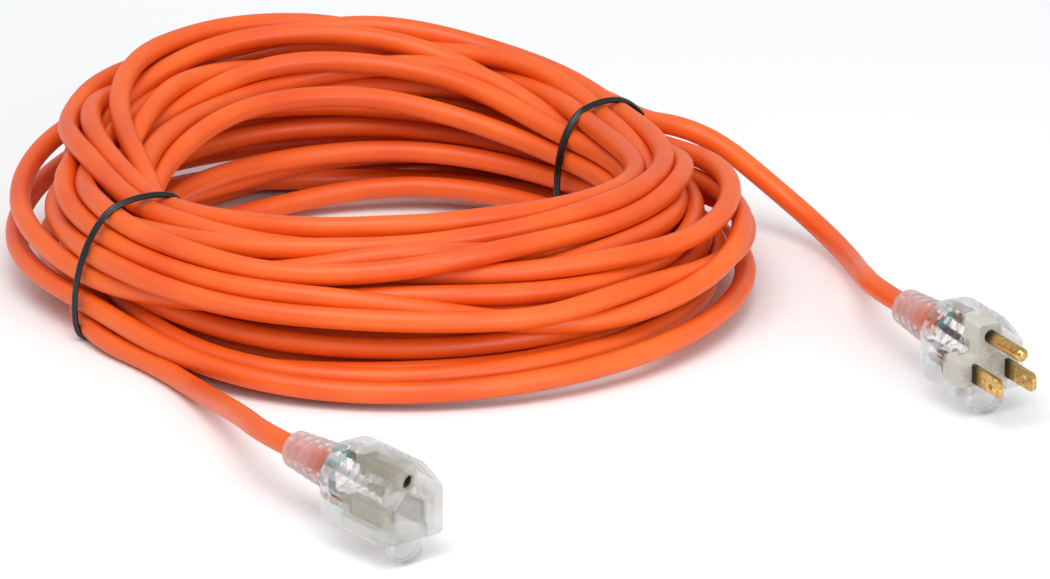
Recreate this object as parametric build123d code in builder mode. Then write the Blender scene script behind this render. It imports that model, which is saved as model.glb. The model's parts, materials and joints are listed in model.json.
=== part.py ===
from build123d import *
from math import cos, pi, radians, sin, tan
import os

os.makedirs("parts", exist_ok=True)

# A three-wire outdoor extension cord, wound into a loose coil and held by two twist ties.
# X runs to the right, Y away from the front, Z up. The cord lies on the floor, z = 0, and the
# origin is on the floor under the middle of everything, plug and connector included.

# ---------------------------------------------------------------- cord
cord_od = 7.4  # jacket
conductor_od = 2.5  # one insulated core
strand_od = 1.4  # its bare copper

# ---------------------------------------------------------------- coil and twist ties
coil_x, coil_y = -40.8, 69.1  # coil axis
floor_gap = 0.15  # the coil's underside stays this far off the floor
tie_width, tie_thick = 3.4, 0.9  # plastic strip
ridge_width, ridge_thick = 1.5, 1.5  # its raised middle, over the wire
wire_size = 0.6  # steel core
wire_depth = 0.45  # under the strip's inner face
tie_seat = 0.5  # clearance between strip and turns
twist_od, twist_length, twist_foot = 3.2, 16, 9  # the ends, twisted together
left_tie_azimuth, right_tie_azimuth = 210, 397

# azimuth, inner radius, outer radius, radius where the top starts to fall, outer height, height
stations = [
    (left_tie_azimuth, 77, 119, 103, 30, 47),
    (240, 73, 125, 96, 27, 50),
    (270, 70, 131, 92, 20, 50),
    (300, 71, 135, 96, 20, 49),
    (330, 75, 135, 104, 26, 49),
    (360, 80, 131, 112, 38, 49),
    (right_tie_azimuth, 76, 118, 104, 33, 46),
    (420, 73, 127, 110, 38, 53),
    (450, 70, 134, 116, 42, 57),
    (475, 70, 138, 120, 46, 61),
    (502, 72, 136, 116, 42, 58),
    (528, 76, 137, 112, 34, 52),
    (552, 78, 132, 108, 30, 48),
    (left_tie_azimuth + 360, 77, 119, 103, 30, 47),
]
section_corner = 8
tie_lift = ridge_thick + tie_seat  # the turns ride on the strip at a tie

# ---------------------------------------------------------------- moulded ends, seen from the face
half_width = 13
base_drop = 8  # blade centres down to the flat bottom
wall_top = 8.5  # blade centres up to the chamfer
top_half, top_rise = 5, 18.5  # flat top
bottom_corner, wall_corner, crown_corner = 2, 4, 3
axis_rise = 4.7  # blade centres up to the cord's axis
prism_length = {"plug": 19, "connector": 26}
shoulder_length = 12
shoulder_waist, waist_at = 0.9, 0.5  # size and place of the shoulder's middle section
relief_length = 24
relief_root, relief_tip = 8.3, 6.3  # rib radii at the body and at the cord
rib_height, rib_count, rib_width = 1.5, 5, 2.6
grip_count, grip_pitch, grip_width, grip_depth = 5, 4.2, 2.2, 1.0
grip_start, grip_margin = 4.0, 1.2  # first groove behind the face; plain edge at its ends
eye_half, eye_wall, eye_depth, eye_drop = 7.4, 1.6, 3.6, 16.3
eye_set_back = 1.0
face_height = eye_drop  # each end stands on its hanging eye

# ---------------------------------------------------------------- electrical parts
blade_spacing, ground_rise = 12.7, 11.9
blade_width, blade_thick, blade_length = 6.35, 1.5, 18
blade_hole, blade_hole_at, blade_nose = 3.1, 12, 1.4
pin_od, pin_length, pin_nose = 4.75, 21.4, 2.0
pin_tang_od = 4.0  # the pin's foot inside the plug
pin_seam, pin_seam_depth = 0.7, 1.3
tang_length = 14  # metal inside the plug
tang_shoulder, tang_shoulder_length = 9.0, 3  # wider step that keeps a blade in its carrier
carrier_half, carrier_height, carrier_depth = 11, 9.2, 10
stem_half, stem_top, carrier_corner = 4.2, 16.2, 1.2
slot_clear, pin_clear = 0.35, 0.28  # connector openings round the blades and the pin
neutral_width = 7.9  # widest blade that the neutral slot takes
skin = 1.6  # clear front wall of the connector
block_half, block_height = 10.6, 13.0
contact_sheet, contact_height, contact_length = 0.7, 6.6, 19
contact_gap = 0.1  # clearance between leaves and blade
contact_set_back = 3.4
socket_side, socket_corner = 7.2, 1.2
crimp_od, crimp_length = 3.4, 7
bare_length = 2.0  # copper that shows behind a crimp
jacket_end = {"plug": 32, "connector": 43}  # where the jacket stops behind the face
core_circle = 1.7  # radius on which the cores leave the jacket
core_lead = 2.2  # straight length at each end of a core
core_bend = 3.0

# ---------------------------------------------------------------- places and routes
plug_face, plug_heading = (162.4, -61.7), -62
connector_face, connector_heading = (-28.4, -196.0), -52.6

plug_route = [
    (60, 124, 38),
    (76, 120, 32.5),
    (94, 116, 19.5),
    (110, 102, 9.5),
    (120, 78.5, 6.5),
    (124.5, 51, 10),
    (125, 29, 16.5),
    (126.25, 6.29, 21),
]
connector_route = [
    (-111.8, -24.9, 4),
    (-107.5, -33.5, 4),
    (-98.8, -56.9, 6.5),
    (-90.8, -83.9, 12),
    (-84.3, -109.9, 18),
    (-76.99, -132.45, 21),
]


def end_plane(face, heading):
    """Plane on a mating face: x across it, y up, z out of the face."""
    along = Vector(cos(radians(heading)), sin(radians(heading)), 0)
    return Plane(origin=(*face, face_height), x_dir=(-along.Y, along.X, 0), z_dir=along)


def save(piece, name):
    piece.part.label = name
    export_step(piece.part, f"parts/{name}.step")


planes = {
    "plug": end_plane(plug_face, plug_heading),
    "connector": end_plane(connector_face, connector_heading),
}
body_length = {end: prism_length[end] + shoulder_length for end in planes}
relief_end = {end: body_length[end] + relief_length for end in planes}


def behind(end, distance, x=0, y=0):
    """World point behind an end's face."""
    return planes[end].from_local_coords(Vector(x, y, -distance))


# ---------------------------------------------------------------- twist ties
def coil_plane(azimuth):
    """Plane through the coil's axis: x is the radius, y is up."""
    angle = radians(azimuth)
    return Plane(origin=(coil_x, coil_y, 0), x_dir=(cos(angle), sin(angle), 0),
                 z_dir=(sin(angle), -cos(angle), 0))


def coil_section(azimuth, inner, outer, fall, outer_height, top, bottom, grow=0):
    """The coil's section at an azimuth, grown all round."""
    with BuildSketch(coil_plane(azimuth)) as face:
        with BuildLine():
            FilletPolyline((inner, bottom), (outer, bottom), (outer, outer_height), (fall, top),
                           (inner, top), radius=section_corner, close=True)
        make_face()
        if grow:
            offset(amount=grow)
    return face.sketch


tie_strips = []
tie_stations = {"left": stations[0], "right": stations[6]}
twist_radius = {
    "left": stations[0][1] - tie_seat - tie_thick - twist_od / 2,
    "right": stations[6][2] + tie_seat + tie_thick + twist_od / 2,
}
for side, (azimuth, *shape) in tie_stations.items():
    seat, under_wire, over_wire, band, ridge = (
        coil_section(azimuth, *shape, tie_lift, grow=grow)
        for grow in (tie_seat, tie_seat + wire_depth, tie_seat + wire_depth + wire_size,
                     tie_seat + tie_thick, tie_seat + ridge_thick)
    )
    with BuildPart() as wire:
        extrude(over_wire, amount=wire_size / 2, both=True)
        extrude(under_wire, amount=wire_size, both=True, mode=Mode.SUBTRACT)
    save(wire, f"tie_{side}_wire")

    twist_x = coil_x + twist_radius[side] * cos(radians(azimuth))
    twist_y = coil_y + twist_radius[side] * sin(radians(azimuth))
    with BuildPart() as strip:
        extrude(band, amount=tie_width / 2, both=True)
        extrude(ridge, amount=ridge_width / 2, both=True)
        with BuildSketch(Plane.XY.offset(twist_foot)):
            with Locations((twist_x, twist_y)):
                Circle(twist_od / 2)
        extrude(amount=twist_length)
        extrude(seat, amount=tie_width, both=True, mode=Mode.SUBTRACT)
        add(wire.part, mode=Mode.SUBTRACT)
    save(strip, f"tie_{side}_strip")
    tie_strips.append(strip.part)

# ---------------------------------------------------------------- coil: its outer shape
half_turns = [stations[:7], stations[6:]]
tie_azimuths = {left_tie_azimuth, left_tie_azimuth + 360, right_tie_azimuth}
with BuildPart() as coil:
    for half in half_turns:
        loft([coil_section(azimuth, *shape, tie_lift if azimuth in tie_azimuths else floor_gap)
              for azimuth, *shape in half])
    add(tie_strips, mode=Mode.SUBTRACT)
save(coil, "cord_coil")


# ---------------------------------------------------------------- cord outside the coil
def corner_radii(points):
    """Each corner's arc takes 0.45 of its shorter run."""
    radii = []
    for before, at, after in zip(points, points[1:], points[2:]):
        arriving, leaving = at - before, after - at
        shorter = min(arriving.length, leaving.length)
        half_turn = radians(arriving.get_angle(leaving)) / 2
        radii.append(0.45 * shorter / tan(half_turn))
    return radii


for end, route in (("plug", plug_route), ("connector", connector_route)):
    points = [Vector(*point) for point in route]
    points.append(behind(end, relief_end[end], 0, axis_rise))
    radii = corner_radii(points)
    with BuildPart() as tail:
        with BuildLine() as path:
            FilletPolyline(*points, radius=radii)
        with BuildSketch(Plane(origin=path.line @ 0, z_dir=path.line % 0)):
            Circle(cord_od / 2)
        sweep()
    save(tail, f"cord_tail_{end}")
    length = sum(edge.length for edge in path.edges())
    section_area = pi * cord_od**2 / 4
    print(end, "tail: radii", [round(radius, 1) for radius in radii], "length",
          round(length, 1), "volume ratio", round(tail.part.volume / length / section_area, 4))


# ---------------------------------------------------------------- metal in the plug
def crimp(end, name, x, y, start):
    """Barrel crimped on a core's bare strands; returns barrel and strands."""
    plane = planes[end]
    with BuildPart() as strands:
        with BuildSketch(plane.offset(-start)):
            with Locations((x, y)):
                Circle(strand_od / 2)
        extrude(amount=-(crimp_length + bare_length))
    with BuildPart() as barrel:
        with BuildSketch(plane.offset(-start)):
            with Locations((x, y)):
                Circle(crimp_od / 2)
        extrude(amount=-crimp_length)
        chamfer(barrel.edges().filter_by(GeomType.CIRCLE), (crimp_od - strand_od) / 8)
        add(strands.part, mode=Mode.SUBTRACT)
    save(strands, f"{end}_{name}_strands")
    save(barrel, f"{end}_{name}_crimp")
    return [strands.part, barrel.part]


def core(end, name, x, y, start):
    """Insulated core from the end of the jacket to its bare strands."""
    leaves_at = 90 if x == 0 else -30 if x > 0 else 210  # degrees round the jacket's axis
    jacket_x = core_circle * cos(radians(leaves_at))
    jacket_y = axis_rise + core_circle * sin(radians(leaves_at))
    points = [
        behind(end, start, x, y),
        behind(end, start + core_lead, x, y),
        behind(end, jacket_end[end] - core_lead, jacket_x, jacket_y),
        behind(end, jacket_end[end], jacket_x, jacket_y),
    ]
    with BuildPart() as conductor:
        with BuildLine() as path:
            FilletPolyline(*points, radius=core_bend)
        with BuildSketch(Plane(origin=path.line @ 0, z_dir=path.line % 0)):
            Circle(conductor_od / 2)
        sweep()
    save(conductor, f"{end}_{name}_core")
    return [conductor.part]


def jacket(end):
    """Last of the jacket, held inside the moulding."""
    with BuildPart() as stub:
        with BuildSketch(planes[end].offset(-jacket_end[end])):
            with Locations((0, axis_rise)):
                Circle(cord_od / 2)
        extrude(amount=-(relief_end[end] - jacket_end[end]))
    save(stub, f"{end}_jacket_end")
    return [stub.part]


def blade(name, x):
    plane = planes["plug"]
    with BuildPart() as metal:
        with BuildSketch(plane.offset(-tang_length)):
            with Locations((x, 0)):
                Rectangle(blade_thick, blade_width)
        extrude(amount=tang_length + blade_length)
        tip = metal.faces().sort_by(Axis(plane.origin, plane.z_dir))[-1]
        chamfer(tip.edges().filter_by(Axis(plane.origin, plane.x_dir)), blade_nose)
        with BuildSketch(plane.offset(-carrier_depth - tang_shoulder_length)):
            with Locations((x, 0)):
                Rectangle(blade_thick, tang_shoulder)
        extrude(amount=tang_shoulder_length)
        side = Plane(origin=behind("plug", -blade_hole_at, x), x_dir=plane.z_dir,
                     z_dir=plane.x_dir)
        with BuildSketch(side):
            Circle(blade_hole / 2)
        extrude(amount=blade_thick, both=True, mode=Mode.SUBTRACT)
    save(metal, f"plug_{name}_blade")
    return metal.part


plug_cores = {
    "line": (blade_spacing / 2, 0),
    "neutral": (-blade_spacing / 2, 0),
    "ground": (0, ground_rise),
}
plug_metal = [blade(name, plug_cores[name][0]) for name in ("line", "neutral")]

with BuildPart() as ground_pin:
    for start, length, diameter in ((tang_length, tang_length, pin_tang_od),
                                    (0, pin_length, pin_od)):
        with BuildSketch(planes["plug"].offset(-start)):
            with Locations((0, ground_rise)):
                Circle(diameter / 2)
        extrude(amount=length)
    tip = ground_pin.faces().sort_by(Axis(planes["plug"].origin, planes["plug"].z_dir))[-1]
    fillet(tip.edges(), pin_nose)
    with BuildSketch(planes["plug"]):
        with Locations((0, ground_rise - pin_od / 2)):
            Rectangle(pin_seam, 2 * pin_seam_depth)
    extrude(amount=pin_length, mode=Mode.SUBTRACT)
save(ground_pin, "plug_ground_pin")
plug_metal.append(ground_pin.part)


# ---------------------------------------------------------------- carriers
def carrier_face(plane, half, height, stem, top):
    """T-shaped: a bar across the blades and a stem up to the ground."""
    with BuildSketch(plane) as face:
        with BuildLine():
            FilletPolyline((-half, -height / 2), (half, -height / 2), (half, height / 2),
                           (stem, height / 2), (stem, top), (-stem, top),
                           (-stem, height / 2), (-half, height / 2),
                           radius=carrier_corner, close=True)
        make_face()
    return face.sketch


with BuildPart() as plug_carrier:
    extrude(carrier_face(planes["plug"], carrier_half, carrier_height, stem_half, stem_top),
            amount=-carrier_depth)
    add(plug_metal, mode=Mode.SUBTRACT)
save(plug_carrier, "plug_blade_carrier")

plug_inner = [*plug_metal, plug_carrier.part, *jacket("plug")]
for name, (x, y) in plug_cores.items():
    plug_inner += crimp("plug", name, x, y, tang_length)
    plug_inner += core("plug", name, x, y, tang_length + crimp_length + bare_length)

# ---------------------------------------------------------------- metal in the connector
connector_cores = {
    "line": (-blade_spacing / 2, 0),
    "neutral": (blade_spacing / 2, 0),
    "ground": (0, ground_rise),
}
front = planes["connector"]
bore_radius = pin_od / 2 + pin_clear
contact_back = contact_set_back + contact_length


def slots(plane):
    """Blade slots and ground hole."""
    with BuildSketch(plane) as face:
        for name, width in (("line", blade_width), ("neutral", neutral_width)):
            with Locations(connector_cores[name]):
                Rectangle(blade_thick + 2 * slot_clear, width + 2 * slot_clear)
        with Locations(connector_cores["ground"]):
            Circle(bore_radius)
    return face.sketch


connector_metal = []
for name in ("line", "neutral"):
    with BuildPart() as contact:
        gap = blade_thick + 2 * contact_gap
        with BuildSketch(front.offset(-contact_set_back)):
            with Locations(connector_cores[name]):
                Rectangle(gap + 2 * contact_sheet, contact_height)
        extrude(amount=-contact_length)
        with BuildSketch(front.offset(-contact_set_back)):
            with Locations(connector_cores[name]):
                Rectangle(gap, contact_height)
        extrude(amount=-(contact_length - contact_sheet), mode=Mode.SUBTRACT)
    save(contact, f"connector_{name}_contact")
    connector_metal.append(contact.part)

with BuildPart() as socket:
    with BuildSketch(front.offset(-contact_set_back)):
        with Locations(connector_cores["ground"]):
            RectangleRounded(socket_side, socket_side, socket_corner)
    extrude(amount=-contact_length)
    with BuildSketch(front.offset(-contact_set_back)):
        with Locations(connector_cores["ground"]):
            Circle(bore_radius)
    extrude(amount=-(contact_length - contact_sheet), mode=Mode.SUBTRACT)
save(socket, "connector_ground_contact")
connector_metal.append(socket.part)

with BuildPart() as block:
    extrude(carrier_face(front.offset(-skin), block_half, block_height,
                         socket_side / 2 + carrier_corner, stem_top + skin),
            amount=skin - contact_back)
    extrude(slots(front.offset(-skin)), amount=skin - contact_back + contact_sheet,
            mode=Mode.SUBTRACT)
    add(connector_metal, mode=Mode.SUBTRACT)
save(block, "connector_contact_block")

connector_inner = [*connector_metal, block.part, *jacket("connector")]
for name, (x, y) in connector_cores.items():
    connector_inner += crimp("connector", name, x, y, contact_back)
    connector_inner += core("connector", name, x, y, contact_back + crimp_length + bare_length)


# ---------------------------------------------------------------- clear overmouldings
def face_outline(plane, size=1):
    with BuildSketch(plane) as face:
        with BuildLine():
            FilletPolyline((-half_width, -base_drop), (half_width, -base_drop),
                           (half_width, wall_top), (top_half, top_rise),
                           (-top_half, top_rise), (-half_width, wall_top), close=True,
                           radius=[bottom_corner, bottom_corner, wall_corner, crown_corner,
                                   crown_corner, wall_corner])
        make_face()
        scale(by=size)
    return face.sketch


def disc(plane, radius):
    """Round section of the strain relief, on the cord's axis."""
    with BuildSketch(plane) as face:
        with Locations((0, axis_rise)):
            Circle(radius)
    return face.sketch


def grip_cutters(end):
    """Outlines of the finger grooves on both chamfers."""
    plane = planes[end]
    run, rise = half_width - top_half, top_rise - wall_top
    slope = (run**2 + rise**2) ** 0.5
    outlines = []
    for side in (1, -1):
        middle = side * (half_width + top_half) / 2
        normal = plane.x_dir * (side * rise / slope) + plane.y_dir * (run / slope)
        chamfer_plane = Plane(origin=behind(end, grip_start, middle, (wall_top + top_rise) / 2),
                              x_dir=plane.z_dir * -1, z_dir=normal)
        with BuildSketch(chamfer_plane) as grooves:
            with Locations(*[(index * grip_pitch, 0) for index in range(grip_count)]):
                SlotOverall(slope - 2 * grip_margin, grip_width, rotation=90)
        outlines.append(grooves.sketch)
    return outlines


def housing(end, inner):
    """Clear body with its shoulder, finger grooves and ribbed strain relief."""
    plane = planes[end]
    prism, length = prism_length[end], body_length[end]
    rib_pitch = relief_length / rib_count
    with BuildPart() as body:
        extrude(face_outline(plane), amount=-prism)
        loft([face_outline(plane.offset(-prism)),
              face_outline(plane.offset(-prism - waist_at * shoulder_length), shoulder_waist),
              disc(plane.offset(-length), relief_root)])
        loft([disc(plane.offset(-length), relief_root - rib_height),
              disc(plane.offset(-relief_end[end]), relief_tip - rib_height)])
        for index in range(rib_count):
            share = index / (rib_count - 1)
            start = length + (index + 1) * rib_pitch - rib_width
            extrude(disc(plane.offset(-start), relief_root + (relief_tip - relief_root) * share),
                    amount=-rib_width)
        for grooves in grip_cutters(end):
            extrude(grooves, amount=grip_depth, both=True, mode=Mode.SUBTRACT)
        if end == "connector":
            extrude(slots(plane), amount=contact_sheet - contact_back, mode=Mode.SUBTRACT)
        add(inner, mode=Mode.SUBTRACT)
    save(body, f"{end}_body")


def eye(end):
    """Flexible hanging loop under the face."""
    centre_y = eye_half - eye_drop
    with BuildPart() as loop:
        for half, mode in ((eye_half, Mode.ADD), (eye_half - eye_wall, Mode.SUBTRACT)):
            with BuildSketch(planes[end].offset(-eye_set_back)):
                with Locations((0, centre_y)):
                    Circle(half)
                with Locations((0, centre_y + eye_half / 2)):
                    Rectangle(2 * half, eye_half)
            extrude(amount=-eye_depth, mode=mode)
        split(bisect_by=Plane(origin=behind(end, 0, 0, -base_drop), z_dir=(0, 0, -1)))
    save(loop, f"{end}_hanging_eye")


housing("plug", plug_inner)
housing("connector", connector_inner)
eye("plug")
eye("connector")
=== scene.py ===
import json
import math

import bmesh
import bpy
import numpy as np
from mathutils import Matrix, Vector

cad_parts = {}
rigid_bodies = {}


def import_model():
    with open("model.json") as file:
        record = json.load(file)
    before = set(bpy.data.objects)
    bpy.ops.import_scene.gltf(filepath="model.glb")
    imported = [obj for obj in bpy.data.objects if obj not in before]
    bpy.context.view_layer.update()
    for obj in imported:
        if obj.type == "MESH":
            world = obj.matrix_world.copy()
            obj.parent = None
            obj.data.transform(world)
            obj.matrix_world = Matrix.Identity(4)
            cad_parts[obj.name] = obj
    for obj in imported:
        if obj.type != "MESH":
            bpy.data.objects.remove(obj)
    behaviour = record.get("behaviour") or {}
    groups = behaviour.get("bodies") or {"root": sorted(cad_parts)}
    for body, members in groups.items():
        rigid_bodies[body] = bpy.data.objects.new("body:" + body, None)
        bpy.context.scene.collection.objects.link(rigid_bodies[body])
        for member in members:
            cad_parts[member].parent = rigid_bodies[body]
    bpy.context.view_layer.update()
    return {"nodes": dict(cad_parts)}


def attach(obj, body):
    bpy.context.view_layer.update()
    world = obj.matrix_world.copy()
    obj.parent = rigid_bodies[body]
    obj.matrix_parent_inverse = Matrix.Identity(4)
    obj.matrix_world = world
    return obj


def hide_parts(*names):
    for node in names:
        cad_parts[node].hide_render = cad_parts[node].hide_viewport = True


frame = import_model()

# ---------------------------------------------------------------- setting
# A plain white floor under a broad overhead softbox, with a second panel from the right to
# put an edge on the clear plastic. The camera stands far back and looks down 20 degrees.
scene = bpy.context.scene
scene.view_settings.view_transform = "Standard"


def linear(code):
    """sRGB hex to linear RGBA."""
    channels = [int(code[i:i + 2], 16) / 255 for i in (0, 2, 4)]
    return [c / 12.92 if c <= 0.04045 else ((c + 0.055) / 1.055) ** 2.4 for c in channels] + [1]


def node(tree, kind, settings=None, links=None, **options):
    """Adds a node: options are its properties, settings its input values, links its input wires."""
    made = tree.nodes.new(kind)
    for name, value in options.items():
        setattr(made, name, value)
    for name, value in (settings or {}).items():
        made.inputs[name].default_value = value
    for name, socket in (links or {}).items():
        tree.links.new(socket, made.inputs[name])
    return made


def new_material(name):
    """Empty material and its tree."""
    made = bpy.data.materials.new(name)
    made.use_nodes = True
    made.node_tree.nodes.clear()
    return made, made.node_tree


# Matt white laminate: it gives nothing but a soft shadow.
laminate, tree = new_material("white_laminate")
surface = node(tree, "ShaderNodeBsdfPrincipled", {
    "Base Color": linear("F6F6F6"), "Roughness": 0.7, "Specular IOR Level": 0.2})
node(tree, "ShaderNodeOutputMaterial", links={"Surface": surface.outputs["BSDF"]})
floor_size = 14
floor_mesh = bpy.data.meshes.new("floor")
floor_mesh.from_pydata([(x * floor_size / 2, y * floor_size / 2, 0)
                        for x, y in ((-1, -1), (1, -1), (1, 1), (-1, 1))], [], [(0, 1, 2, 3)])
floor = bpy.data.objects.new("floor", floor_mesh)
floor.data.materials.append(laminate)
scene.collection.objects.link(floor)

world = bpy.data.worlds.new("studio")
world.use_nodes = True
world.node_tree.nodes["Background"].inputs["Color"].default_value = linear("EFF2F5")
world.node_tree.nodes["Background"].inputs["Strength"].default_value = 0.72
scene.world = world

for name, place, aim, width, height, power in (
        ("overhead_softbox", (-0.25, -0.75, 1.6), (0, 0.05, 0), 1.3, 1.1, 19),
        ("front_panel", (1.0, -1.5, 0.7), (0.1, -0.05, 0.02), 0.8, 0.8, 11)):
    lamp = bpy.data.lights.new(name, "AREA")
    lamp.shape = "RECTANGLE"
    lamp.size, lamp.size_y, lamp.energy = width, height, power
    holder = bpy.data.objects.new(name, lamp)
    holder.location = place
    holder.rotation_euler = (Vector(aim) - Vector(place)).to_track_quat("-Z", "Y").to_euler()
    scene.collection.objects.link(holder)

camera = bpy.data.objects.new("camera", bpy.data.cameras.new("camera"))
camera.location = (0.0078, -2.7509, 1.0236)
camera.rotation_euler = (math.radians(70), 0, 0)
camera.data.lens = 296.2
camera.data.sensor_width = 36
scene.collection.objects.link(camera)
scene.camera = camera

# ---------------------------------------------------------------- blades, pin and contacts
# Stamped and rolled brass: two flat blades and a round ground pin in the plug, spring
# contacts in the connector. The moulding grips their inner ends.
face_height = 0.0163
ends = {"plug": ((0.1624, -0.0617), -62), "connector": ((-0.0284, -0.1960), -52.6)}


def end_matrix(end):
    """Frame of a mating face: x across it, y up, z out of it."""
    (x, y), heading = ends[end]
    c, s = math.cos(math.radians(heading)), math.sin(math.radians(heading))
    return Matrix(((-s, 0, c, x), (c, 0, s, y), (0, 1, 0, face_height), (0, 0, 0, 1)))


def behind(end, distance, x=0, y=0):
    """Point behind an end's face."""
    return end_matrix(end) @ Vector((x, y, -distance))


def mottled(name, dark, light, grain, finish, detail=2, spread=(0, 1)):
    """Material whose colour drifts between two tones, in patches about grain metres across."""
    made, tree = new_material(name)
    place = node(tree, "ShaderNodeTexCoord")
    noise = node(tree, "ShaderNodeTexNoise", {"Scale": 1 / grain, "Detail": detail},
                 {"Vector": place.outputs["Object"]})
    share = node(tree, "ShaderNodeMapRange", {"From Min": spread[0], "From Max": spread[1]},
                 {"Value": noise.outputs["Fac"]})
    tone = node(tree, "ShaderNodeMix", {"A": linear(dark), "B": linear(light)},
                {"Factor": share.outputs["Result"]}, data_type="RGBA")
    shader = node(tree, "ShaderNodeBsdfPrincipled", finish, {"Base Color": tone.outputs["Result"]})
    node(tree, "ShaderNodeOutputMaterial", links={"Surface": shader.outputs["BSDF"]})
    return made, tree, noise, shader


# Bright rolled brass: warm and slightly streaked, dark brown for the first few millimetres out of
# the face.
blade_brass, tree, streaks, shader = mottled(
    "rolled_brass", "C08F45", "F0CF85", 0.0012, {"Metallic": 1, "Roughness": 0.24}, 4, (0.35, 0.7))
(face_x, face_y), heading = ends["plug"]
axis = Vector((math.cos(math.radians(heading)), math.sin(math.radians(heading)), 0))
root = axis.dot(Vector((face_x, face_y, 0)))
# The brass is dark brown up to 2.5 mm in front of the face and blends to the streaked brass by 6.5
# mm.
dark_root_start, dark_root_end = 0.0025, 0.0065  # in front of the face
place = node(tree, "ShaderNodeTexCoord")
along = node(tree, "ShaderNodeVectorMath", {1: axis}, {0: place.outputs["Object"]},
             operation="DOT_PRODUCT")
dark_root_share = node(tree, "ShaderNodeMapRange",
             {"From Min": root + dark_root_start, "From Max": root + dark_root_end},
             {"Value": along.outputs["Value"]})
bright = shader.inputs["Base Color"].links[0].from_socket
dark_root_tone = node(tree, "ShaderNodeMix", {"A": linear("4A2E16")},
            {"Factor": dark_root_share.outputs["Result"], "B": bright}, data_type="RGBA")
scratch = node(tree, "ShaderNodeBump", {"Strength": 0.15, "Distance": 0.0001},
               {"Height": streaks.outputs["Fac"]})
tree.links.new(dark_root_tone.outputs["Result"], shader.inputs["Base Color"])
tree.links.new(scratch.outputs["Normal"], shader.inputs["Normal"])

# Contact brass seen through milky plastic: duller and browner.
contact_brass = mottled("contact_brass", "8A6A30", "D2AE62", 0.002,
                        {"Metallic": 1, "Roughness": 0.42})[0]


def paint(names, material):
    """Gives CAD nodes their real material."""
    for name in names:
        piece = frame["nodes"][name]
        piece.data.materials.clear()
        piece.data.materials.append(material)


paint(["plug_line_blade", "plug_neutral_blade", "plug_ground_pin"], blade_brass)
contacts = [f"connector_{name}_contact" for name in ("line", "neutral", "ground")]
paint(contacts, contact_brass)

# ---------------------------------------------------------------- carriers
# The blades stand in a pale T-shaped carrier, and the contacts lie in a milky block. Both are
# moulded first; the clear PVC is then moulded round them.

# Glass-filled nylon: warm grey, matt, with a fine grain on its face.
nylon, tree, grain, shader = mottled("glass_filled_nylon", "C6BFB0", "ECE7DC", 0.0005,
                                     {"Roughness": 0.6}, 6, (0.35, 0.65))
rough = node(tree, "ShaderNodeBump", {"Strength": 0.5, "Distance": 0.0002},
             {"Height": grain.outputs["Fac"]})
tree.links.new(rough.outputs["Normal"], shader.inputs["Normal"])
paint(["plug_blade_carrier"], nylon)

# Natural polypropylene: milky and see-through, so the contacts show as soft shapes inside it.
milky = mottled("natural_polypropylene", "DAD3C2", "F6F2E8", 0.004,
                {"Roughness": 0.16, "IOR": 1.49, "Alpha": 0.27}, 3)[0]
paint(["connector_contact_block"], milky)

# ---------------------------------------------------------------- wires inside the ends
# Each end holds the last of the jacket and three stranded copper wires: black line, white
# neutral and green ground, each crimped into a brass barrel.

# Bare copper strands: bright, pinkish, ribbed by their twist.
copper = mottled("bare_copper", "8E4A2A", "E09A70", 0.0008,
                 {"Metallic": 1, "Roughness": 0.3}, 3)[0]
# Crimped brass gone brown under the press.
crimped = mottled("crimped_brass", "5A3A1E", "A67C48", 0.0015,
                  {"Metallic": 1, "Roughness": 0.35}, 3)[0]
# Core insulation: glossy PVC with a hint of die lines.
core_colours = {"black": ("0C0C0D", "1D1D1F"), "white": ("DADAD6", "F4F4F0"),
                "green": ("0E7E78", "2FA79C")}
core_names = {"line": "black", "neutral": "white", "ground": "green"}
core_finish = {"Roughness": 0.3, "IOR": 1.53}
cores = {colour: mottled(f"{colour}_core_pvc", dark, light, 0.003, core_finish)[0]
         for colour, (dark, light) in core_colours.items()}
for end in ends:
    for name, colour in core_names.items():
        paint([f"{end}_{name}_core"], cores[colour])
        paint([f"{end}_{name}_crimp"], crimped)
        paint([f"{end}_{name}_strands"], copper)

# ---------------------------------------------------------------- jacket
# The jacket is extruded orange PVC, round and smooth, with faint marks from handling. Its last
# stretch is gripped inside each moulded end.
cord_od = 0.0074

# Flexible PVC: saturated, satin, very slightly translucent, with slow changes of tone and a
# fine skin. The skin's grain is drawn at 0.6 mm so that it shows.
orange_pvc, tree, slow, shader = mottled(
    "orange_flexible_pvc", "E05213", "EE671D", 0.035,
    {"IOR": 1.53, "Specular IOR Level": 0.42, "Subsurface Weight": 0.1, "Subsurface Scale": 0.002,
     "Subsurface Radius": (1, 0.35, 0.12)}, 2, (0.3, 0.7))
place = node(tree, "ShaderNodeTexCoord")
skin = node(tree, "ShaderNodeTexNoise", {"Scale": 1 / 0.0006, "Detail": 3, "Roughness": 0.6},
            {"Vector": place.outputs["Object"]})
pores = node(tree, "ShaderNodeBump", {"Strength": 0.12, "Distance": 0.0001},
             {"Height": skin.outputs["Fac"]})
gloss = node(tree, "ShaderNodeMapRange", {"To Min": 0.36, "To Max": 0.5},
             {"Value": slow.outputs["Fac"]})
tree.links.new(pores.outputs["Normal"], shader.inputs["Normal"])
tree.links.new(gloss.outputs["Result"], shader.inputs["Roughness"])
paint(["plug_jacket_end", "connector_jacket_end"], orange_pvc)

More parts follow.
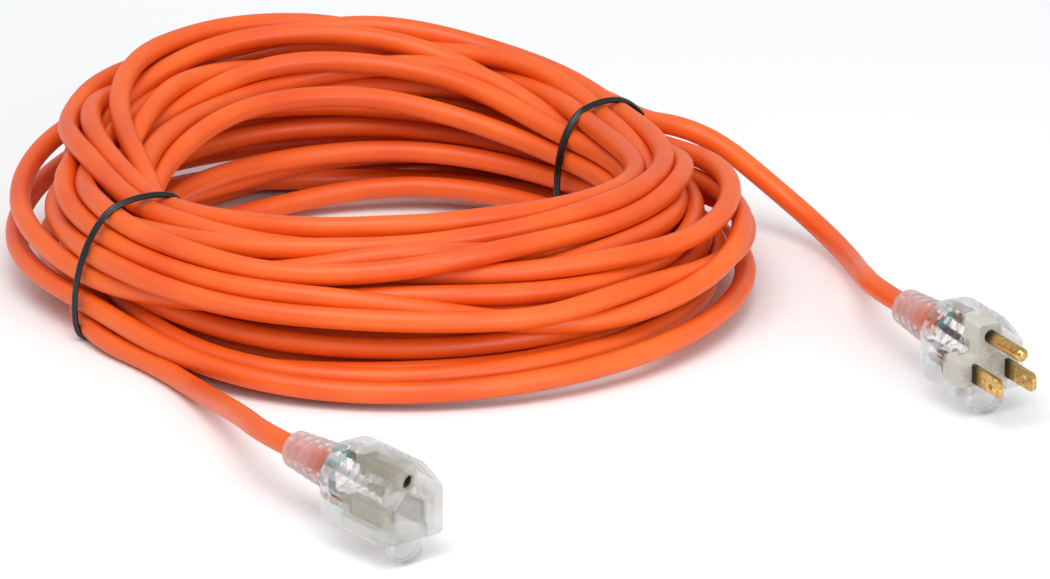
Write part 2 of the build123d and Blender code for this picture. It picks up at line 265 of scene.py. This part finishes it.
# ---------------------------------------------------------------- clear bodies
# Each end is overmoulded in clear PVC: a body with chamfered shoulders, five finger grooves
# on each chamfer, a domed back and a ribbed strain relief that grips the jacket.
half_width, base_drop, wall_top, top_half, top_rise = 0.013, 0.008, 0.0085, 0.005, 0.0185
bottom_corner, wall_corner, crown_corner = 0.002, 0.004, 0.003
axis_rise = 0.0047
prism_length = {"plug": 0.019, "connector": 0.026}
shoulder_length, relief_length = 0.012, 0.024
relief_root, relief_tip, rib_height, rib_width, rib_count = 0.0083, 0.0063, 0.0015, 0.0026, 5
grip_start, grip_pitch, grip_width, grip_depth, grip_count = 0.004, 0.0042, 0.0026, 0.0011, 5
groove_end, groove_fade, groove_round = 0.0008, 0.0014, 0.7  # plain end, run-out and roundness
chamfer_reach, chamfer_fade = 0.0008, 0.0006  # how a groove dies away past its chamfer
rib_round, edge_round = 0.0009, 0.0006
dome_rise, dome_fall = 2.2, 0.7  # fullness of the domed back
haze_length = 0.012  # from the root of the relief towards its tip
around, ring_step = 176, 0.0003  # points round the body; distance between rings
corner_steps, edge_rings, dome_rings = 8, 6, 40

# Clear plasticised PVC: glassy, faintly grey, softly wavy where the mould cooled it. The haze
# attribute rises from 0 on the body to 1 along the relief, where the ribs flex and turn whitish.
clear_pvc, tree, wave, shader = mottled("clear_flexible_pvc", "DDE3E6", "EEF2F4", 0.004,
                                        {"Roughness": 0.06, "IOR": 1.45})
ripple = node(tree, "ShaderNodeBump", {"Strength": 0.12, "Distance": 0.0005},
              {"Height": wave.outputs["Fac"]})
haze = node(tree, "ShaderNodeAttribute", attribute_name="haze")
glassy = node(tree, "ShaderNodeMapRange", {"To Min": 0.88, "To Max": 0.65},
              {"Value": haze.outputs["Fac"]})
cover = node(tree, "ShaderNodeMapRange", {"To Min": 0.5, "To Max": 0.7},
             {"Value": haze.outputs["Fac"]})
tree.links.new(ripple.outputs["Normal"], shader.inputs["Normal"])
tree.links.new(glassy.outputs["Result"], shader.inputs["Transmission Weight"])
tree.links.new(cover.outputs["Result"], shader.inputs["Alpha"])


def face_outline():
    """Rounded outline of the face, counter-clockwise from its bottom centre."""
    corners = [(half_width, -base_drop, bottom_corner), (half_width, wall_top, wall_corner),
               (top_half, top_rise, crown_corner), (-top_half, top_rise, crown_corner),
               (-half_width, wall_top, wall_corner), (-half_width, -base_drop, bottom_corner)]
    line = [Vector((0, -base_drop))]
    for index, (x, y, radius) in enumerate(corners):
        at = Vector((x, y))
        before = (Vector(corners[index - 1][:2]) - at).normalized()
        after = (Vector(corners[(index + 1) % len(corners)][:2]) - at).normalized()
        half = before.angle(after) / 2
        centre = at + (before + after).normalized() * radius / math.sin(half)
        start = at + before * radius / math.tan(half) - centre
        turn = math.pi - 2 * half
        for step in range(corner_steps + 1):
            a = turn * step / corner_steps
            line.append(centre + Vector((start.x * math.cos(a) - start.y * math.sin(a),
                                         start.x * math.sin(a) + start.y * math.cos(a))))
    line = np.array(line + [line[0]])
    run = np.concatenate([[0], np.cumsum(np.linalg.norm(np.diff(line, axis=0), axis=1))])
    at = np.linspace(0, run[-1], around, endpoint=False)
    return np.stack([np.interp(at, run, line[:, k]) for k in (0, 1)], 1)


def circle(radius):
    """Round ring on the cord's axis, with its points in the same order as the outline's."""
    a = np.linspace(0, 2 * math.pi, around, endpoint=False) - math.pi / 2
    return np.stack([radius * np.cos(a), axis_rise + radius * np.sin(a)], 1)


def groove_offset(ring, distance):
    """How far each point of a ring sinks into a finger groove."""
    run, rise = half_width - top_half, top_rise - wall_top
    slope = math.hypot(run, rise)
    offset = np.zeros_like(ring)
    depth = 0
    for index in range(grip_count):
        across = (distance - grip_start - index * grip_pitch) / (grip_width / 2)
        depth = max(depth, (1 - across ** 2) if abs(across) < 1 else 0)
    for side in (1, -1):
        normal = np.array([side * rise, run]) / slope
        lengthwise = np.array([-side * run, rise]) / slope
        local = ring - np.array([side * (half_width + top_half) / 2, (wall_top + top_rise) / 2])
        end_fade = np.clip((slope / 2 - groove_end - abs(local @ lengthwise)) / groove_fade, 0, 1)
        on_chamfer = np.clip((local @ normal + chamfer_reach) / chamfer_fade, 0, 1)
        offset -= (grip_depth * depth ** groove_round * end_fade * on_chamfer)[:, None] * normal
    return offset


def relief_radius(distance):
    """Tapered relief with rounded ribs."""
    share = distance / relief_length
    outer = relief_root + (relief_tip - relief_root) * share
    pitch = relief_length / rib_count
    inside = distance % pitch - (pitch - rib_width)
    edge = min(max(min(inside, rib_width - inside) / rib_round, 0), 1)
    return outer - rib_height * (1 - math.sin(edge * math.pi / 2))


def mesh_from_rings(rings):
    """Closed tube through rings of points."""
    count = len(rings[0])
    points = [point for ring in rings for point in ring]
    faces = []
    for row in range(len(rings) - 1):
        for k in range(count):
            nxt = (k + 1) % count
            faces.append((row * count + k, row * count + nxt,
                          (row + 1) * count + nxt, (row + 1) * count + k))
    faces.append(tuple(reversed(range(count))))
    faces.append(tuple((len(rings) - 1) * count + k for k in range(count)))
    mesh = bpy.data.meshes.new("rings")
    mesh.from_pydata(points, [], faces)
    shell = bmesh.new()
    shell.from_mesh(mesh)
    bmesh.ops.recalc_face_normals(shell, faces=shell.faces)
    shell.to_mesh(mesh)
    shell.free()
    return mesh


def add_piece(name, mesh, material, slot, *nodes):
    """Puts a finished mesh in the scene in place of its CAD nodes."""
    mesh.name = name
    mesh.materials.clear()
    mesh.materials.append(material)
    piece = bpy.data.objects.new(name, mesh)
    scene.collection.objects.link(piece)
    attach(piece, "root")
    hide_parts(*nodes)
    return piece


def body_rings(end):
    """Rings from the face back to the tip of the strain relief, where the end lies."""
    prism, outline = prism_length[end], face_outline()
    middle = np.array([0, axis_rise])
    rings = []
    for angle in np.linspace(0, math.pi / 2, edge_rings):
        inset = edge_round * (1 - math.sin(angle)) / half_width
        drawn_in = middle + (outline - middle) * (1 - inset)
        rings.append((edge_round * (1 - math.cos(angle)), drawn_in))
    for distance in np.arange(edge_round + ring_step, prism, ring_step):
        rings.append((distance, outline + groove_offset(outline, distance)))
    root = circle(relief_root - rib_height)
    for q in np.linspace(0, 1, dome_rings):
        share = math.sin(q * math.pi / 2)
        weight = 1 - (1 - share ** dome_rise) ** dome_fall
        distance = prism + shoulder_length * share
        ring = outline + groove_offset(outline, distance)
        rings.append((distance, ring * (1 - weight) + root * weight))
    start = prism + shoulder_length
    for distance in np.arange(ring_step, relief_length, ring_step):
        rings.append((start + distance, circle(relief_radius(distance))))
    rings.append((start + relief_length, circle(relief_tip - rib_height)))
    placed = end_matrix(end)
    return [[placed @ Vector((x, y, -distance)) for x, y in ring] for distance, ring in rings]


bodies = {}
for end in ends:
    mesh = mesh_from_rings(body_rings(end))
    mesh.shade_smooth()
    clouded = mesh.attributes.new("haze", "FLOAT", "POINT")
    to_end = end_matrix(end).inverted()
    for vertex, value in zip(mesh.vertices, clouded.data):
        along_relief = -(to_end @ vertex.co).z - prism_length[end] - shoulder_length
        value.value = min(max(along_relief / haze_length, 0), 1)
    bodies[end] = mesh

# ---------------------------------------------------------------- connector openings
# Two blade slots and a round ground hole are cored in the connector's face, each with a
# small lead-in so that a plug finds its way.
blade_spacing, ground_rise = 0.0127, 0.0119
line_slot, neutral_slot, bore = (0.0021, 0.00695), (0.0021, 0.0085), 0.0026
mouth_flare, mouth_depth, opening_depth = 0.0004, 0.0005, 0.0222
cutter_lead, bore_sides = 0.001, 32  # a cutter starts this far in front of the face


def opening_rings(centre, outline):
    """Cutter for one opening: wide at the mouth, then straight."""
    placed = end_matrix("connector")
    rings = []
    for distance, grow in ((-cutter_lead, mouth_flare), (0, mouth_flare), (mouth_depth, 0),
                           (opening_depth, 0)):
        ring = []
        for x, y in outline:
            length = math.hypot(x, y)
            widen = 1 + grow / length
            ring.append(placed @ Vector((centre[0] + x * widen, centre[1] + y * widen, -distance)))
        rings.append(ring)
    return rings


cutters = []
for x, (width, height) in ((-blade_spacing / 2, line_slot), (blade_spacing / 2, neutral_slot)):
    cutters.append(opening_rings((x, 0), [(sx * width / 2, sy * height / 2) for sx, sy in
                                          ((-1, -1), (1, -1), (1, 1), (-1, 1))]))
bore_angles = np.linspace(0, 2 * math.pi, bore_sides + 1)[:-1]
cutters.append(opening_rings((0, ground_rise), [(bore * math.cos(a), bore * math.sin(a))
                                                for a in bore_angles]))
body = bpy.data.objects.new("uncut", bodies["connector"])
scene.collection.objects.link(body)
for rings in cutters:
    cutter = bpy.data.objects.new("cutter", mesh_from_rings(rings))
    scene.collection.objects.link(cutter)
    cut = body.modifiers.new("cut", "BOOLEAN")
    cut.object = cutter
    cut.operation = "DIFFERENCE"
    cut.solver = "EXACT"
depsgraph = bpy.context.evaluated_depsgraph_get()
bodies["connector"] = bpy.data.meshes.new_from_object(body.evaluated_get(depsgraph))
for spare in [body] + [o for o in scene.objects if o.name.startswith("cutter")]:
    bpy.data.objects.remove(spare)
for end, mesh in bodies.items():
    bodies[end] = add_piece(f"{end}_clear_body", mesh, clear_pvc, "clear_pvc", f"{end}_body")

# ---------------------------------------------------------------- hanging eyes
# A soft clear loop is moulded under each face. It hangs the cord on a hook, and the end
# stands on it here.
eye_half, eye_wall, eye_depth, eye_drop, eye_set_back = 0.0074, 0.0016, 0.0036, 0.0163, 0.001
leg_rise = 0.0052  # straight legs above the bend, up into the body
strip_roundness = 0.6  # 1 is an oval section, less is squarer
bend_rings, strip_sides = 41, 24


def eye_rings(end):
    """Rounded strip bent into a U, from the body down to the floor and back."""
    middle = eye_half - eye_wall / 2
    centre_y = eye_half - eye_drop
    path = [((middle, centre_y + rise), (1, 0)) for rise in (leg_rise, leg_rise / 2)]
    path += [((middle * math.cos(a), centre_y + middle * math.sin(a)), (math.cos(a), math.sin(a)))
             for a in np.linspace(0, -math.pi, bend_rings)]
    path += [((-middle, centre_y + rise), (-1, 0)) for rise in (leg_rise / 2, leg_rise)]
    placed = end_matrix(end)
    rings = []
    for (x, y), (nx, ny) in path:
        ring = []
        for a in np.linspace(0, 2 * math.pi, strip_sides + 1)[:-1]:
            across = abs(math.cos(a)) ** strip_roundness * math.copysign(eye_wall / 2, math.cos(a))
            deep = abs(math.sin(a)) ** strip_roundness * math.copysign(eye_depth / 2, math.sin(a))
            ring.append(placed @ Vector((x + nx * across, y + ny * across,
                                         -eye_set_back - eye_depth / 2 + deep)))
        rings.append(ring)
    return rings


eyes = {}
for end in ends:
    mesh = mesh_from_rings(eye_rings(end))
    mesh.shade_smooth()
    eyes[end] = add_piece(f"{end}_eye", mesh, clear_pvc, "clear_pvc", f"{end}_hanging_eye")

# ---------------------------------------------------------------- cord
# 15.24 m of three-core cord. It leaves the plug, joins the top of the coil at the right-hand
# tie, goes round about 23.6 times down to the floor, and leaves along it to the connector.
coil_x, coil_y = -0.0408, 0.0691
plug_route = [
    (0.0621, 0.1288, 0.0370),
    (0.0770, 0.1218, 0.0325),
    (0.0940, 0.1160, 0.0195),
    (0.1100, 0.1020, 0.0095),
    (0.1200, 0.0785, 0.0065),
    (0.1235, 0.0510, 0.0100),
    (0.1236, 0.0295, 0.0170),
    (0.12625, 0.00629, 0.0210),
]
connector_route = [
    (-0.1128, -0.0295, 0.0040),
    (-0.1046, -0.0442, 0.0043),
    (-0.0974, -0.0630, 0.0073),
    (-0.0908, -0.0855, 0.0123),
    (-0.0843, -0.1099, 0.0180),
    (-0.07699, -0.13245, 0.0210),
]
per_turn, first_azimuth, point_count = 40, 37.6, 942
tie_azimuths = (210, 397)
layers = [4, 4, 4, 4, 4, 4]  # turns in each layer, from the top

# The winding, in millimetres and degrees.
drop_start, drop_run = 0.8, 0.2  # last share of a layer, in which the cord sinks to the next
top_join, floor_join, join_points = (114, 39), (118, 4), 3  # where the free ends meet the coil
floor_gap, tie_lift, tie_hump = 0.15, 2.0, 7  # off the floor; over a tie; degrees each side of it
tie_reach, spread_room = 40, 8  # degrees over which a tie lets go; room for a turn to stray
roof_slack = 1.5  # how far a turn may stand above the section
narrow_reach, least_width = 15, 4  # of a layer, where the section is too low to hold one
layer_spacing, wobble_spacing = 26, 7  # points between one random shift and the next

# Pressing the turns together. In each round a turn moves a share of the way to its wanted place,
# to a smoother line, off the turns that it touches, under the section's top and to its join.
early_pull, late_pull, late_share = 0.05, 0.01, 0.75  # late starts at this share of the rounds
early_stiffness, late_stiffness, last_rounds = 0.5, 0.2, 40
press_passes, part_share, roof_press, join_press = 3, 0.3, 0.5, 0.2
part_margin = 1.01  # turns are parted to this many cord thicknesses

# The coil's loose section, in millimetres: azimuth, inner and outer radius, height at the
# inner side, radius and height of the highest part, height at the outer side.
stations = [
    (210, 78, 118, 46, 104, 46, 30),
    (240, 75, 125, 49, 94, 49, 20),
    (270, 71, 131, 51, 90, 50, 16),
    (300, 71, 134, 51, 92, 50, 16),
    (330, 75, 133, 49, 100, 49, 26),
    (360, 81, 128, 46, 112, 48, 36),
    (397, 77, 117, 45, 104, 45, 34),
    (420, 74, 126, 46, 108, 52, 40),
    (450, 71, 134, 46, 116, 60, 50),
    (475, 70, 137, 47, 120, 64, 54),
    (502, 72, 135, 49, 116, 62, 48),
    (528, 76, 127, 50, 108, 54, 34),
    (552, 78, 124, 48, 104, 48, 28),
    (570, 78, 118, 46, 104, 46, 30),
]


def roof(radius, section):
    """Height of the section's top at a radius."""
    inner, outer, inner_height, crest, crest_height, outer_height = section
    rising = inner_height + (crest_height - inner_height) * (radius - inner) / (crest - inner)
    falling = crest_height + (outer_height - crest_height) * (radius - crest) / (outer - crest)
    return np.where(radius < crest, rising, falling)


def smoothed(points):
    """Each point moved to the middle of its neighbours."""
    moved = points.copy()
    moved[1:-1] = (points[:-2] + points[2:]) / 2
    return moved


def push_apart(points, thick):
    """Shifts that part the turns that touch, among the points of one azimuth."""
    fill = -len(points) % per_turn
    padded = np.full((len(points) + fill, 2), 1e6)  # fillers stand far off and apart
    padded[:len(points)] = points
    padded[len(points):, 0] += np.arange(fill) * 100
    slices = padded.reshape(-1, per_turn, 2).transpose(1, 0, 2)
    gap = slices[:, :, None] - slices[:, None]
    apart = np.sqrt((gap ** 2).sum(-1)) + 1e-9
    overlap = np.clip(thick * part_margin - apart, 0, None)
    same = np.arange(slices.shape[1])
    overlap[:, same, same] = 0
    push = (gap / apart[..., None] * overlap[..., None] * part_share).sum(2)
    return push.transpose(1, 0, 2).reshape(-1, 2)[:len(points)]


def wind_coil(seed=3, wobble=5.0, wander=0.7, rounds=260):
    """Lays the turns in their layers, lets them wander, then presses them apart to one cord's
    thickness. Returns azimuths in degrees, and radius and height in millimetres."""
    draw = np.random.default_rng(seed)
    thick = cord_od * 1000
    index = np.arange(point_count)
    azimuth = first_azimuth + 360 / per_turn * index
    turn = index / per_turn
    wrapped = (azimuth - tie_azimuths[0]) % 360 + tie_azimuths[0]
    section = [np.interp(wrapped, [s[0] for s in stations], [s[k] for s in stations])
               for k in range(1, 7)]
    inner, outer, inner_height, crest, crest_height, outer_height = section

    def slow_noise(size, spacing):
        """Random shifts some points apart, joined by straight lines."""
        knots = draw.normal(0, size, point_count // spacing + 4)
        return np.interp(index, np.arange(len(knots)) * spacing, knots)

    # The turns of a layer go from the outside in, and those of the next from the inside out.
    starts = np.concatenate([[0], np.cumsum(layers)])
    layer = np.clip(np.searchsorted(starts, turn, side="right") - 1, 0, len(layers) - 1)
    share = (turn - starts[layer]) / np.array(layers)[layer]
    across = np.where(layer % 2 == 0, 1 - share, share)
    down = layer + np.clip((share - drop_start) / drop_run, 0, 1) ** 2
    across = np.clip(across + slow_noise(wander, layer_spacing) / 4, 0, 1)
    down = np.clip(down + slow_noise(wander, layer_spacing), 0, len(layers) - 1)
    height = thick / 2 + (np.maximum(inner_height, crest_height) - thick) * (
        1 - down / (len(layers) - 1))
    tries = inner + (outer - inner) * np.linspace(0, 1, 30)[:, None]
    fits = roof(tries, section) >= height + thick / 2 - roof_slack
    widest = np.where(fits.any(0), np.where(fits, tries, -1).max(0), crest)
    narrowest = np.where(fits.any(0), np.where(fits, tries, 999).min(0), crest - narrow_reach)
    low = narrowest + thick / 2
    high = np.maximum(widest - thick / 2, low + least_width)

    from_tie = np.min([abs((azimuth - tie + 180) % 360 - 180) for tie in tie_azimuths], axis=0)
    free = np.clip(from_tie / tie_reach, 0, 1)
    wanted = np.stack([low + (high - low) * across, height], 1)
    wanted[:, 0] += slow_noise(wobble, wobble_spacing) * free
    wanted[:, 1] += slow_noise(wobble, wobble_spacing) * free
    for centre, outward, upward, width in bulges:
        swell = np.exp(-((azimuth - centre) / width) ** 2)
        wanted[:, 0] += outward * swell
        wanted[:, 1] += upward * swell
    ground = thick / 2 + floor_gap + tie_lift * np.exp(-(from_tie / tie_hump) ** 2)
    joins = [(slice(0, join_points), top_join),
             (slice(point_count - join_points, point_count), floor_join)]
    for ends_at, meets in joins:
        wanted[ends_at] = meets
    limit = outer - thick / 2 + spread_room * free
    place = wanted.copy()
    for step in range(rounds):
        place += (early_pull if step < rounds * late_share else late_pull) * (wanted - place)
        once, twice = smoothed(place), smoothed(smoothed(place))
        stiffness = early_stiffness if step < rounds - last_rounds else late_stiffness
        place += stiffness * (2 * once - twice - place)
        for _ in range(press_passes):
            between = push_apart((place[:-1] + place[1:]) / 2, thick)
            place += push_apart(place, thick)
            place[:-1] += between / 2
            place[1:] += between / 2
            ceiling = np.maximum(roof(place[:, 0], section) - thick / 2, thick / 2 + 1)
            over = place[:, 1] > ceiling
            place[over, 1] += roof_press * (ceiling - place[:, 1])[over]
            place[:, 1] = np.maximum(place[:, 1], ground)
            place[:, 0] = np.clip(place[:, 0], inner + thick / 2, limit)
            for ends_at, meets in joins:
                place[ends_at] += join_press * (np.array(meets) - place[ends_at])
    return azimuth, place


# Turns that stand out of the bundle: azimuth counted from the start, outward and upward
# shift in millimetres, and half width in degrees.
bulges = [(8 * 360 + 163, 11, 0, 26), (16 * 360 + 168, 11, 0, 26)]
azimuth, section_points = wind_coil()
angle = np.radians(azimuth)
turns = [(coil_x + r / 1000 * math.cos(a), coil_y + r / 1000 * math.sin(a), z / 1000)
         for a, (r, z) in zip(angle, section_points)]
relief_end = {end: prism_length[end] + shoulder_length + relief_length for end in ends}
leaves_plug = behind("plug", relief_end["plug"], 0, axis_rise)
leaves_connector = behind("connector", relief_end["connector"], 0, axis_rise)
route = [leaves_plug, *reversed(plug_route), *turns, *connector_route, leaves_connector]

cord_curve = bpy.data.curves.new("cord", "CURVE")
cord_curve.dimensions = "3D"
spline = cord_curve.splines.new("NURBS")
spline.points.add(len(route) - 1)
for point, at in zip(spline.points, route):
    point.co = (*at, 1)
spline.order_u = 3
spline.use_endpoint_u = True
spline.resolution_u = 4
cord_curve.bevel_depth = cord_od / 2
cord_curve.bevel_resolution = 6
cord_curve.use_fill_caps = True
cord_curve.materials.append(orange_pvc)
cord = bpy.data.objects.new("cord", cord_curve)
scene.collection.objects.link(cord)
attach(cord, "root")
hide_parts("cord_coil", "cord_tail_plug", "cord_tail_connector")
connector_pieces = [bodies["connector"], eyes["connector"], "connector_contact_block",
                    "connector_jacket_end", *contacts]
connector_pieces += [f"connector_{name}_{kind}" for name in core_names
                     for kind in ("core", "crimp", "strands")]

# ---------------------------------------------------------------- twist ties
# Two black ties hold the coil: a steel wire in a flat plastic strip with a raised middle,
# drawn tight round the turns, its ends twisted together.
strip_width, strip_thick, ridge_width, ridge_thick = 0.0034, 0.0009, 0.0019, 0.0022

# Extruded black PVC strip: glossy, with fine lines along it.
tie_pvc = mottled("black_strip_pvc", "040405", "0C0C0E", 0.002,
                  {"Roughness": 0.22, "IOR": 1.53}, 3)[0]


def strip_tree():
    """Geometry Nodes: sweeps the ridged strip along a curve and twists it."""
    made = bpy.data.node_groups.new("ridged_strip", "GeometryNodeTree")
    made.interface.new_socket("Geometry", in_out="INPUT", socket_type="NodeSocketGeometry")
    for name, kind in (("Width", "NodeSocketFloat"), ("Thickness", "NodeSocketFloat"),
                       ("Ridge width", "NodeSocketFloat"), ("Ridge height", "NodeSocketFloat"),
                       ("Twist", "NodeSocketFloat"), ("Normal", "NodeSocketVector"),
                       ("Material", "NodeSocketMaterial")):
        made.interface.new_socket(name, in_out="INPUT", socket_type=kind)
    made.interface.new_socket("Geometry", in_out="OUTPUT", socket_type="NodeSocketGeometry")
    given = node(made, "NodeGroupInput").outputs
    band = node(made, "GeometryNodeCurvePrimitiveQuadrilateral",
                links={"Width": given["Width"], "Height": given["Thickness"]})
    radius = node(made, "ShaderNodeMath", {1: 0.45}, {0: given["Thickness"]}, operation="MULTIPLY")
    soft = node(made, "GeometryNodeFilletCurve", {"Count": 3},
                {"Curve": band.outputs["Curve"], "Radius": radius.outputs[0]}, mode="POLY")
    ring = node(made, "GeometryNodeCurvePrimitiveCircle", {"Radius": 0.5, "Resolution": 14})
    size = node(made, "ShaderNodeCombineXYZ", {"Z": 1},
                {"X": given["Ridge width"], "Y": given["Ridge height"]})
    ridge = node(made, "GeometryNodeTransform",
                 links={"Geometry": ring.outputs["Curve"], "Scale": size.outputs[0]})
    profile = node(made, "GeometryNodeJoinGeometry")
    made.links.new(soft.outputs["Curve"], profile.inputs[0])
    made.links.new(ridge.outputs["Geometry"], profile.inputs[0])
    aligned = node(made, "GeometryNodeSetCurveNormal",
                   links={"Curve": given["Geometry"], "Normal": given["Normal"]}, mode="FREE")
    along = node(made, "GeometryNodeSplineParameter")
    turned = node(made, "ShaderNodeMath", links={0: along.outputs["Factor"], 1: given["Twist"]},
                  operation="MULTIPLY")
    tilted = node(made, "GeometryNodeSetCurveTilt",
                  links={"Curve": aligned.outputs["Curve"], "Tilt": turned.outputs[0]})
    swept = node(made, "GeometryNodeCurveToMesh", {"Fill Caps": True},
                 {"Curve": tilted.outputs["Curve"], "Profile Curve": profile.outputs["Geometry"]})
    smooth = node(made, "GeometryNodeSetShadeSmooth", links={"Geometry": swept.outputs["Mesh"]})
    real = node(made, "GeometryNodeRealizeInstances",
                links={"Geometry": smooth.outputs["Geometry"]})
    dressed = node(made, "GeometryNodeSetMaterial", links={
        "Geometry": real.outputs["Geometry"], "Material": given["Material"]})
    node(made, "NodeGroupOutput", links={"Geometry": dressed.outputs["Geometry"]})
    return made


strip = strip_tree()


def sweep_strip(points, cyclic, normal, width, thickness, ridge, ridge_height, twist):
    """Runs the tree on one path and returns a plain mesh."""
    path = bpy.data.curves.new("path", "CURVE")
    path.dimensions = "3D"
    line = path.splines.new("POLY")
    line.points.add(len(points) - 1)
    for point, at in zip(line.points, points):
        point.co = (*at, 1)
    line.use_cyclic_u = cyclic
    holder = bpy.data.objects.new("path", path)
    scene.collection.objects.link(holder)
    modifier = holder.modifiers.new("strip", "NODES")
    modifier.node_group = strip
    values = {"Width": width, "Thickness": thickness, "Ridge width": ridge,
              "Ridge height": ridge_height, "Twist": twist, "Normal": normal,
              "Material": tie_pvc}
    for item in strip.interface.items_tree:
        if item.in_out == "INPUT" and item.name in values:
            modifier[item.identifier] = values[item.name]
    graph = bpy.context.evaluated_depsgraph_get()
    mesh = bpy.data.meshes.new_from_object(holder.evaluated_get(graph))
    bpy.data.objects.remove(holder)
    return mesh


def join_meshes(meshes):
    """One smooth-shaded mesh of several, with its faces pointing outwards."""
    joined = bmesh.new()
    for mesh in meshes:
        joined.from_mesh(mesh)
    bmesh.ops.recalc_face_normals(joined, faces=joined.faces)
    made = bpy.data.meshes.new("joined")
    joined.to_mesh(made)
    joined.free()
    made.shade_smooth()
    return made


twist_length, twist_foot, twist_gap = 0.016, 0.010, 0.0012
twist_turns, twist_steps = 2.5, 40
twist_width, twist_thick, twist_ridge = 0.9, 2.1, 1.4  # twisted pair, as shares of one strip
press_in = 0.0004  # how far the wire's ridge sinks into the jacket
tie_points, soft_passes = 144, 50  # points round a loop; how stiffly it rounds its corners
tie_floor = 0.0014  # lowest middle of the strip
for side, tie_azimuth, outwards in (("left", tie_azimuths[0], -1), ("right", tie_azimuths[1], 1)):
    across = math.radians(tie_azimuth)
    radial = Vector((math.cos(across), math.sin(across), 0))
    sideways = Vector((-math.sin(across), math.cos(across), 0))
    crossings = []
    for lap in range(int(point_count / per_turn) + 2):
        at = tie_azimuth - 360 + lap * 360
        if azimuth[0] <= at <= azimuth[-1]:
            crossings.append([np.interp(at, azimuth, section_points[:, k]) / 1000 for k in (0, 1)])
    crossings = np.array(crossings)
    stand_off = cord_od / 2 + ridge_thick / 2 - press_in
    centre = (crossings.min(0) + crossings.max(0)) / 2
    phi = np.linspace(0, 2 * math.pi, tie_points, endpoint=False)
    ways = np.stack([np.cos(phi), np.sin(phi)], 1)
    tangents = np.stack([-np.sin(phi), np.cos(phi)], 1)
    reach = ((crossings - centre) @ ways.T).max(0) + stand_off
    for _ in range(soft_passes):
        reach = (np.roll(reach, 1) + 2 * reach + np.roll(reach, -1)) / 4
    slope = (np.roll(reach, -1) - np.roll(reach, 1)) / (2 * phi[1])
    outline = centre + reach[:, None] * ways + slope[:, None] * tangents
    loop = [Vector((coil_x, coil_y, 0)) + radial * r + Vector((0, 0, max(z, tie_floor)))
            for r, z in outline]
    edge = max if outwards > 0 else min
    foot = Vector((coil_x, coil_y, 0)) + radial * (
        edge(crossings[:, 0]) + outwards * (stand_off + twist_gap))
    twisted = [foot + Vector((0, 0, twist_foot + twist_length * k / twist_steps))
               for k in range(twist_steps + 1)]
    meshes = [
        sweep_strip(loop, True, sideways, strip_width, strip_thick, ridge_width, ridge_thick, 0),
        sweep_strip(twisted, False, sideways, strip_width * twist_width,
                    strip_thick * twist_thick, ridge_width, ridge_thick * twist_ridge,
                    twist_turns * 2 * math.pi),
    ]
    add_piece(f"{side}_twist_tie", join_meshes(meshes), tie_pvc, "tie_black",
              f"tie_{side}_strip", f"tie_{side}_wire")
